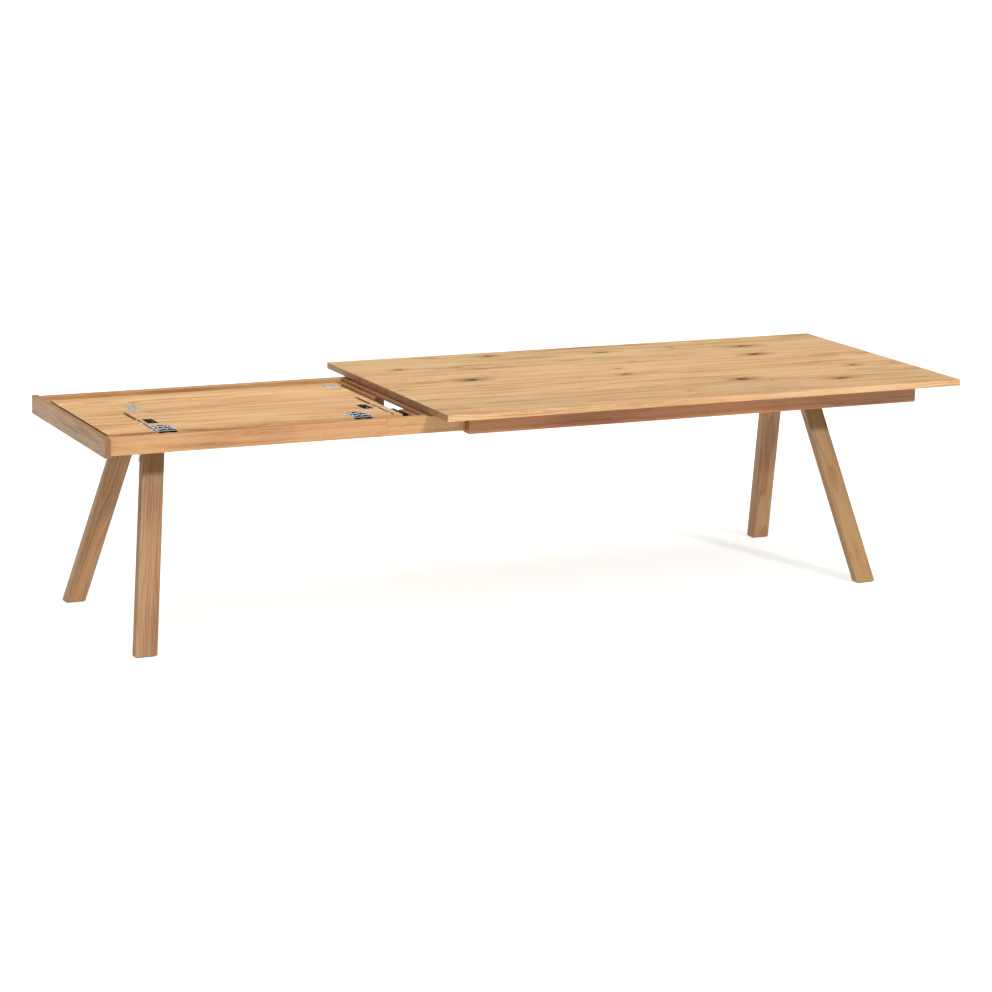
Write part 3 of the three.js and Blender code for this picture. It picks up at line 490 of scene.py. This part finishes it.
def screw(centre, axis=(0, 0, 1), radius=3.6):
    """A countersunk head with a hexagon-wide socket, its rim just proud."""
    return turned(centre, axis, [(radius * 0.6, -0.8), (radius, 0.1), (radius, 0.5), (radius * 0.86, 0.8),
                                 (radius * 0.5, 0.8), (radius * 0.44, -0.5)])


def rounded(low, high, radius_mm, level):
    """A rectangle's outline with round corners, in the plane of a height."""
    radius = radius_mm * MM
    left, right = low[0] + radius, high[0] - radius
    near, far = low[1] + radius, high[1] - radius
    points = []
    for corner, (x, y) in enumerate([(right, far), (left, far), (left, near), (right, near)]):
        for step in range(CORNER_ROUND):
            angle = math.pi / 2 * (corner + step / (CORNER_ROUND - 1))
            points.append(Vector((x + radius * math.cos(angle), y + radius * math.sin(angle), level)))
    return points


def slab(low, high, radius_mm, bottom, top, ease_mm=0.3):
    """A flat bar with round corners and an eased upper edge."""
    ease = ease_mm * MM
    inner_low = (low[0] + ease, low[1] + ease)
    inner_high = (high[0] - ease, high[1] - ease)
    return [rounded(low, high, radius_mm, bottom), rounded(low, high, radius_mm, top - ease),
            rounded(inner_low, inner_high, radius_mm - ease_mm, top)], False


def pierced(low, high, hole_low, hole_high, bottom, top, radius_mm=2.0):
    """A flat plate with one round-ended opening through it."""
    hole_radius = min(hole_high[0] - hole_low[0], hole_high[1] - hole_low[1]) / 2 / MM - 0.01
    outer = [rounded(low, high, radius_mm, level) for level in (bottom, top)]
    inner = [rounded(hole_low, hole_high, hole_radius, level) for level in (top, bottom)]
    return outer + inner, True


def fitting(name, shapes, body, slot):
    """One piece made of closed skins: each is its rings, and whether the last ring joins the first."""
    verts, faces = [], []
    for rings, wrapped in shapes:
        start, count = len(verts), len(rings[0])
        verts += [point for points in rings for point in points]
        pairs = list(zip(range(len(rings)), list(range(1, len(rings))) + [0]))
        for low, high in pairs if wrapped else pairs[:-1]:
            for i in range(count):
                after = (i + 1) % count
                faces.append([start + low * count + i, start + low * count + after,
                              start + high * count + after, start + high * count + i])
        if not wrapped:
            faces.append([start + i for i in reversed(range(count))])
            faces.append([start + (len(rings) - 1) * count + i for i in range(count)])
    mesh = bpy.data.meshes.new(name)
    mesh.from_pydata(verts, [], faces)
    work = bmesh.new()
    work.from_mesh(mesh)
    bmesh.ops.remove_doubles(work, verts=work.verts, dist=1e-7)
    bmesh.ops.recalc_face_normals(work, faces=work.faces)
    work.to_mesh(mesh)
    work.free()
    mesh.materials.append(METALS_AND_SOFTS[slot])
    piece = bpy.data.objects.new(name, mesh)
    bpy.context.collection.objects.link(piece)
    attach(piece, body)
    return piece


def hinge_fittings(word):
    """The folding hinge's face: a plated base, three black links on cross pins, and their pivots."""
    low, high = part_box("hinge_upper_" + word)
    top = high.z + LIFT_MM * MM
    base_top = top + HINGE_BASE_MM * MM
    link_top = base_top + HINGE_LINK_MM * MM
    margin = HINGE_MARGIN_MM * MM
    opening = HINGE_OPENING_MM * MM
    base = pierced((low.x - margin, low.y + 2 * MM), (high.x + margin, high.y + margin),
                   (low.x + opening, low.y + opening), (high.x - opening, high.y - opening), top, base_top)
    links, pivots = [], []
    half = LINK_WIDTH_MM / 2 * MM
    for share, back in ((0.14, 0), (0.5, 10), (0.86, -6)):
        x = low.x + share * (high.x - low.x)
        start, end = low.y + 8 * MM, high.y - (12 - back) * MM
        links.append(slab((x - half, start), (x + half, end), LINK_ROUND_MM,
                          base_top + LIFT_MM * MM, link_top))
        for y in (start + 9 * MM, (start + end) / 2, end - 9 * MM):
            pivots.append(screw((x, y, link_top), radius=3.4))
    pin_length = (high.x - low.x) / MM + 4
    end_radius = CROSS_PIN_MM - 0.15
    pin_level = base_top + (CROSS_PIN_MM + 0.1) * MM
    pin_profile = [(end_radius, 0), (CROSS_PIN_MM, 0.3), (CROSS_PIN_MM, pin_length - 0.3),
                   (end_radius, pin_length)]
    for along in (0.34, 0.66):
        y = low.y + along * (high.y - low.y)
        pivots.append(turned((low.x - 2 * MM, y, pin_level), (1, 0, 0), pin_profile))
    for x in (low.x - margin / 3, high.x + margin / 3):
        for y in (low.y + 12 * MM, high.y - 4 * MM):
            pivots.append(screw((x, y, base_top), radius=2.2))
    fitting("hinge_base_" + word, [base], "upper_leaf", "steel")
    fitting("hinge_links_" + word, links, "upper_leaf", "black_steel")
    fitting("hinge_pivots_" + word, pivots, "upper_leaf", "steel")


def catch_fittings(word):
    """The catch beside the groove: a toothed black latch with plated rivets."""
    low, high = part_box("leaf_catch_" + word)
    top = high.z + LIFT_MM * MM
    spine_top = top + SPINE_TOP_MM * MM
    middle = (low.x + high.x) / 2
    teeth = []
    for i in range(TEETH):
        y = low.y + (8 + TOOTH_PITCH_MM * i) * MM
        teeth.append(slab((low.x + 3 * MM, y - 3.2 * MM), (high.x - 3 * MM, y + 3.2 * MM), 2.4, top,
                          top + TOOTH_MM * MM))
    spine = slab((middle - 5 * MM, low.y + 4 * MM), (middle + 5 * MM, high.y - 4 * MM), 4,
                 top + SPINE_LOW_MM * MM, spine_top)
    rivets = [screw((middle, y, spine_top), radius=2.6) for y in (low.y + 12 * MM, high.y - 12 * MM)]
    fitting("catch_teeth_" + word, teeth + [spine], "upper_leaf", "black_steel")
    fitting("catch_rivets_" + word, rivets, "upper_leaf", "steel")


def bar_fittings(word):
    """The lock bar's thumb stud and its two guide clips."""
    low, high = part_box("lock_bar_" + word)
    middle = (low.x + high.x) / 2
    stud = turned((middle, high.y - 14 * MM, high.z + LIFT_MM * MM), (0, 0, 1),
                  [(3.6, 0), (3.6, 0.6), (2.4, 0.9), (2.4, 1.8), (4.2, 2.1), (4.2, 3.0), (3.7, 3.4)])
    clips = [slab((middle - 6.4 * MM, y - 3 * MM), (middle + 6.4 * MM, y + 3 * MM), 1.2,
                  high.z + LIFT_MM * MM, high.z + CLIP_MM * MM)
             for y in (low.y + 30 * MM, high.y - 60 * MM)]
    fitting("lock_bar_stud_" + word, [stud] + clips, "upper_leaf", "steel")


def plate_fittings(node, body):
    """A flush plate's striker slot and screws."""
    low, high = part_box(node)
    top = high.z + LIFT_MM * MM
    long_way = 1 if high.y - low.y > high.x - low.x else 0
    inset = Vector((9, 9, 0)) * MM
    inset[long_way] = 22 * MM
    rim_top = top + RIM_MM * MM
    rim = pierced((low.x + 2 * MM, low.y + 2 * MM), (high.x - 2 * MM, high.y - 2 * MM),
                  (low.x + inset.x, low.y + inset.y), (high.x - inset.x, high.y - inset.y), top, rim_top)
    ends = []
    for corner, sign in ((low, 1), (high, -1)):
        place = Vector(((low.x + high.x) / 2, (low.y + high.y) / 2, rim_top))
        place[long_way] = corner[long_way] + sign * 11 * MM
        ends.append(screw(place, radius=3.2))
    fitting(node + "_rim", [rim] + ends, body, "steel")


def bracket_screws(node, body, outward):
    """Two screws through a leg bracket's flat upper part."""
    low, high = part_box(node)
    face = high.x - BRACKET_MM * MM if outward < 0 else low.x + BRACKET_MM * MM
    middle = (low.y + high.y) / 2
    heads = [screw((face, middle, high.z - drop * MM), (outward, 0, 0), 3.4)
             for drop in BRACKET_SCREW_DROPS_MM]
    fitting(node + "_screws", heads, body, "steel")


for side_word in ("left", "right"):
    hinge_fittings(side_word)
    catch_fittings(side_word)
    bar_fittings(side_word)
plate_fittings("keeper_plate", "upper_leaf")
plate_fittings("tray_plate", "extension_frame")
for side_word in ("front", "back"):
    bracket_screws("ext_leg_bracket_" + side_word, "extension_frame", -1)
    bracket_screws("main_leg_bracket_" + side_word, "main_frame", 1)

# ---- floor, light and camera ----


FLOOR_REACH_M = 150
FLOOR_GLOW = 0.68  # lifts the floor to white, with only a faint shadow left


def floor():
    """A pale matt sweep, so wide that its edge is out of sight."""
    mesh = bpy.data.meshes.new("floor")
    reach = FLOOR_REACH_M
    corners = [(-reach, -reach, 0), (reach, -reach, 0), (reach, reach, 0), (-reach, reach, 0)]
    mesh.from_pydata(corners, [], [(0, 1, 2, 3)])
    obj = bpy.data.objects.new("floor", mesh)
    bpy.context.collection.objects.link(obj)
    material, tree, shader = new_material("pale studio floor")
    shader.inputs["Base Color"].default_value = colour("#BCBCBB")
    shader.inputs["Roughness"].default_value = 0.9
    shader.inputs["Emission Color"].default_value = colour("#FFFFFF")
    shader.inputs["Emission Strength"].default_value = FLOOR_GLOW
    mesh.materials.append(material)


def soft_light(name, azimuth, elevation, strength, spread, tint="#FFFFFF"):
    """A distant studio light: azimuth 0 shines from the front, 90 from the right; spread is its width."""
    lamp = bpy.data.lights.new(name, "SUN")
    lamp.energy = strength
    lamp.angle = math.radians(spread)
    lamp.color = colour(tint)[:3]
    obj = bpy.data.objects.new(name, lamp)
    bpy.context.collection.objects.link(obj)
    side, rise = math.radians(azimuth), math.radians(elevation)
    towards = Vector((math.sin(side) * math.cos(rise), -math.cos(side) * math.cos(rise), math.sin(rise)))
    obj.rotation_euler = towards.to_track_quat("Z", "Y").to_euler()


def camera():
    """A long lens, set high off the table's front left corner."""
    place = Vector((-4.322, -8.921, 2.571))
    heading, dip, roll = math.radians(25.81), math.radians(12.70), math.radians(1.27)
    forward = Vector((math.sin(heading) * math.cos(dip), math.cos(heading) * math.cos(dip), -math.sin(dip)))
    right = Vector((math.cos(heading), -math.sin(heading), 0))
    up = right.cross(forward)
    right, up = (right * math.cos(roll) + up * math.sin(roll), up * math.cos(roll) - right * math.sin(roll))
    lens = bpy.data.cameras.new("camera")
    lens.sensor_width = 36
    lens.lens = 105.2
    lens.clip_end = 500
    obj = bpy.data.objects.new("camera", lens)
    bpy.context.collection.objects.link(obj)
    obj.matrix_world = Matrix((
        (right.x, up.x, -forward.x, place.x),
        (right.y, up.y, -forward.y, place.y),
        (right.z, up.z, -forward.z, place.z),
        (0, 0, 0, 1),
    ))
    bpy.context.scene.camera = obj


floor()
soft_light("overhead softbox", 10, 78, 2.55, 70)
soft_light("front softbox", 12.6, 29, 1.75, 5, "#FFF6EA")
soft_light("left fill", -80, 25, 0.45, 60, "#EAF0FF")
world = bpy.data.worlds.new("studio")
bpy.context.scene.world = world
world.use_nodes = True
world.node_tree.nodes["Background"].inputs["Color"].default_value = colour("#FFFFFF")
world.node_tree.nodes["Background"].inputs["Strength"].default_value = 0.25
camera()
bpy.context.scene.view_settings.view_transform = "Standard"
